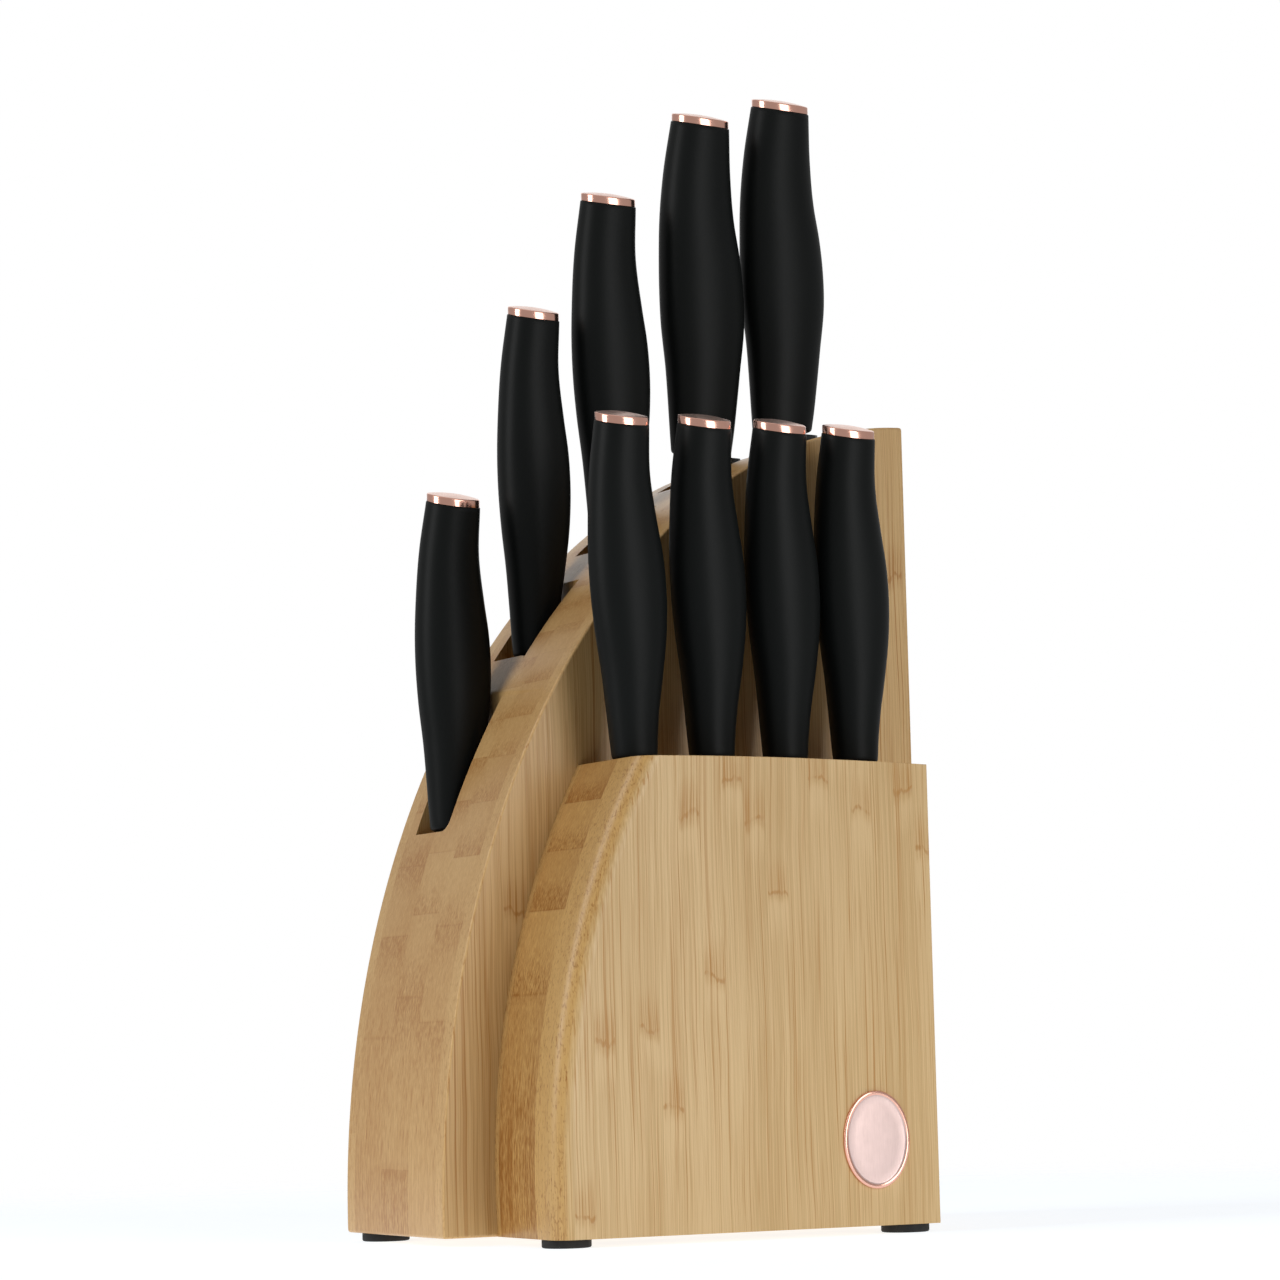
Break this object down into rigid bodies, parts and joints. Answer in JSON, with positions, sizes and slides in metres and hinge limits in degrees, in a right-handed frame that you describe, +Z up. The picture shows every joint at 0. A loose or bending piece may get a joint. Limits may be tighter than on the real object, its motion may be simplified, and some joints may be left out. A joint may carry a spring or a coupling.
{
  "type": "knife block",
  "caption": "Fan-shaped bamboo knife block of two glued slabs, with black-handled knives that pull straight up out of stepped rear pockets and front slots.",
  "frame": {"origin": "on the table under the middle of the block, at the underside of its rubber feet", "axes": "+Z up, the knives pull out along it; +X to the right along the front face, from the curved edge to the upright end; +Y from the low front slab to the tall back slab"},
  "size_m": [0.1776, 0.122, 0.3952],
  "materials": {
    "bamboo_ply": "satin lacquered bamboo, fine upright grain with node marks",
    "bamboo_core": "satin lacquered bamboo, laminated strips showing speckled end grain on the curved edge",
    "soft_black": "satin soft-touch black",
    "coated_steel": "smooth dark coating on steel, ground edge",
    "rose_gold": "rose-gold coating, polished rim and finely brushed top",
    "rubber": "matt black"
  },
  "bodies": {
    "block": {"back_slab_far_ply": "bamboo_ply", "back_slab_far_board": "bamboo_core", "back_slab_far_core": "bamboo_core", "back_slab_near_core": "bamboo_core", "back_slab_near_board": "bamboo_core", "back_slab_near_ply": "bamboo_ply", "front_slab_back_ply": "bamboo_ply", "front_slab_back_core": "bamboo_core", "front_slab_front_core": "bamboo_core", "front_slab_front_ply": "bamboo_ply", "foot_front_left": "rubber", "foot_front_right": "rubber", "foot_back_left": "rubber", "foot_back_right": "rubber", "badge_plate": "rose_gold"},
    "paring_knife": {"paring_knife_blade": "coated_steel", "paring_knife_handle": "soft_black", "paring_knife_cap": "rose_gold"},
    "utility_knife": {"utility_knife_blade": "coated_steel", "utility_knife_handle": "soft_black", "utility_knife_cap": "rose_gold"},
    "slicing_knife": {"slicing_knife_blade": "coated_steel", "slicing_knife_handle": "soft_black", "slicing_knife_cap": "rose_gold"},
    "carving_knife": {"carving_knife_blade": "coated_steel", "carving_knife_handle": "soft_black", "carving_knife_cap": "rose_gold"},
    "bread_knife": {"bread_knife_blade": "coated_steel", "bread_knife_handle": "soft_black", "bread_knife_cap": "rose_gold"},
    "steak_knife_1": {"steak_knife_1_blade": "coated_steel", "steak_knife_1_handle": "soft_black", "steak_knife_1_cap": "rose_gold"},
    "steak_knife_2": {"steak_knife_2_blade": "coated_steel", "steak_knife_2_handle": "soft_black", "steak_knife_2_cap": "rose_gold"},
    "steak_knife_3": {"steak_knife_3_blade": "coated_steel", "steak_knife_3_handle": "soft_black", "steak_knife_3_cap": "rose_gold"},
    "steak_knife_4": {"steak_knife_4_blade": "coated_steel", "steak_knife_4_handle": "soft_black", "steak_knife_4_cap": "rose_gold"}
  },
  "joints": [
    {"name": "paring_knife_pull", "type": "slide", "parent": "block", "child": "paring_knife", "axis": [0.0209, 0, 0.9998], "range_m": [0, 0.145]},
    {"name": "utility_knife_pull", "type": "slide", "parent": "block", "child": "utility_knife", "axis": [0.0175, 0, 0.9998], "range_m": [0, 0.16]},
    {"name": "slicing_knife_pull", "type": "slide", "parent": "block", "child": "slicing_knife", "axis": [0.0052, 0, 1], "range_m": [0, 0.19]},
    {"name": "carving_knife_pull", "type": "slide", "parent": "block", "child": "carving_knife", "axis": [0.0253, 0, 0.9997], "range_m": [0, 0.21]},
    {"name": "bread_knife_pull", "type": "slide", "parent": "block", "child": "bread_knife", "axis": [0.0236, 0, 0.9997], "range_m": [0, 0.205]},
    {"name": "steak_knife_1_pull", "type": "slide", "parent": "block", "child": "steak_knife_1", "axis": [-0.0175, 0, 0.9998], "range_m": [0, 0.125]},
    {"name": "steak_knife_2_pull", "type": "slide", "parent": "block", "child": "steak_knife_2", "axis": [0.0026, 0, 1], "range_m": [0, 0.125]},
    {"name": "steak_knife_3_pull", "type": "slide", "parent": "block", "child": "steak_knife_3", "axis": [0.0105, 0, 0.9999], "range_m": [0, 0.125]},
    {"name": "steak_knife_4_pull", "type": "slide", "parent": "block", "child": "steak_knife_4", "axis": [0.0079, 0, 1], "range_m": [0, 0.125]}
  ]
}
